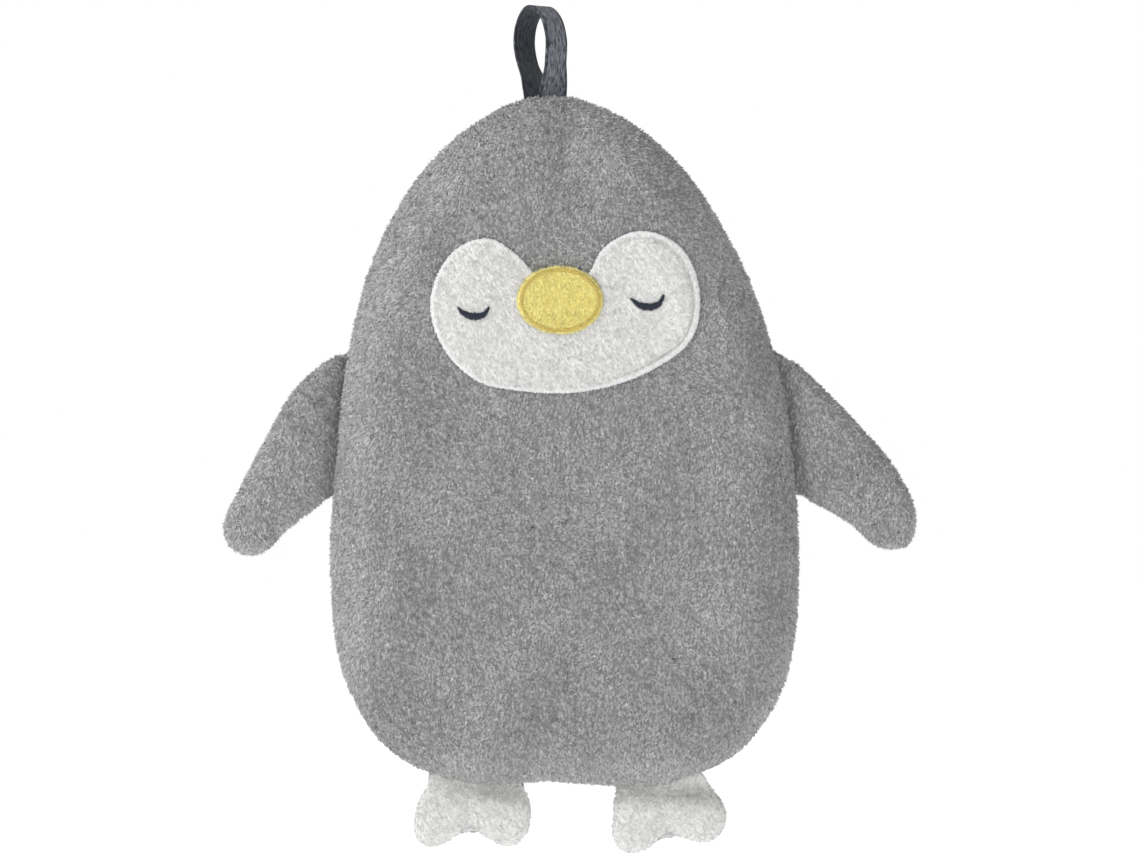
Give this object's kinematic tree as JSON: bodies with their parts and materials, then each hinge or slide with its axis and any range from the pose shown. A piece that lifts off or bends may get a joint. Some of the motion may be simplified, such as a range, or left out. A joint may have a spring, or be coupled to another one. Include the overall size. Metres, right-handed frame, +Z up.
{
  "type": "plush penguin",
  "caption": "Flat padded plush penguin with flippers, feet, an applique face and beak, embroidered eyes and a hanging loop.",
  "frame": {"origin": "under the middle of the toy, level with the lowest toe, halfway through its thickness", "axes": "+Z up along the body, the face looks along -Y, +X to the right as seen from the front"},
  "size_m": [0.2904, 0.0498, 0.3541],
  "materials": {
    "plush_grey": "short grey plush, matt",
    "plush_white": "short white plush, matt",
    "plush_yellow": "soft yellow plush, matt",
    "filling_fibre": "loose polyester fibre",
    "thread_grey": "sewing thread",
    "thread_white": "white satin-stitch thread, slight sheen",
    "thread_ochre": "ochre satin-stitch thread, slight sheen",
    "thread_navy": "dark navy embroidery thread",
    "cotton_tape": "blue-grey woven cotton tape"
  },
  "bodies": {
    "body": {"front_panel": "plush_grey", "back_panel": "plush_grey", "body_filling": "filling_fibre", "body_seam_thread": "thread_grey", "closing_seam_thread": "thread_grey", "face_patch": "plush_white", "face_patch_stitching": "thread_white", "beak": "plush_yellow", "beak_stitching": "thread_ochre", "left_eye": "thread_navy", "right_eye": "thread_navy"},
    "loop": {"hanging_loop": "cotton_tape"},
    "left_flipper": {"left_flipper_front": "plush_grey", "left_flipper_back": "plush_grey", "left_flipper_filling": "filling_fibre", "left_flipper_seam_thread": "thread_grey"},
    "right_flipper": {"right_flipper_front": "plush_grey", "right_flipper_back": "plush_grey", "right_flipper_filling": "filling_fibre", "right_flipper_seam_thread": "thread_grey"},
    "left_foot": {"left_foot_front": "plush_white", "left_foot_back": "plush_white", "left_foot_filling": "filling_fibre", "left_foot_seam_thread": "thread_white"},
    "right_foot": {"right_foot_front": "plush_white", "right_foot_back": "plush_white", "right_foot_filling": "filling_fibre", "right_foot_seam_thread": "thread_white"}
  },
  "joints": [
    {"name": "left_flipper_fold", "type": "hinge", "parent": "body", "child": "left_flipper", "pos_m": [-0.09695, 0.0019, 0.179], "axis": [0.1264, 0, 0.992], "range_deg": [-60, 60], "stiffness_Nm_per_rad": 0.02},
    {"name": "right_flipper_fold", "type": "hinge", "parent": "body", "child": "right_flipper", "pos_m": [0.0925, 0.0019, 0.179], "axis": [-0.1499, 0, 0.9887], "range_deg": [-60, 60], "stiffness_Nm_per_rad": 0.02},
    {"name": "left_foot_fold", "type": "hinge", "parent": "body", "child": "left_foot", "pos_m": [-0.039, 0.0019, 0.0262], "axis": [1, 0, 0], "range_deg": [-60, 60], "stiffness_Nm_per_rad": 0.005},
    {"name": "right_foot_fold", "type": "hinge", "parent": "body", "child": "right_foot", "pos_m": [0.038, 0.0019, 0.0262], "axis": [1, 0, 0], "range_deg": [-60, 60], "stiffness_Nm_per_rad": 0.005},
    {"name": "loop_fold", "type": "hinge", "parent": "body", "child": "loop", "pos_m": [-0.01, 0.0019, 0.3188], "axis": [0.829, 0.5592, 0], "range_deg": [-60, 60], "stiffness_Nm_per_rad": 0.002}
  ]
}
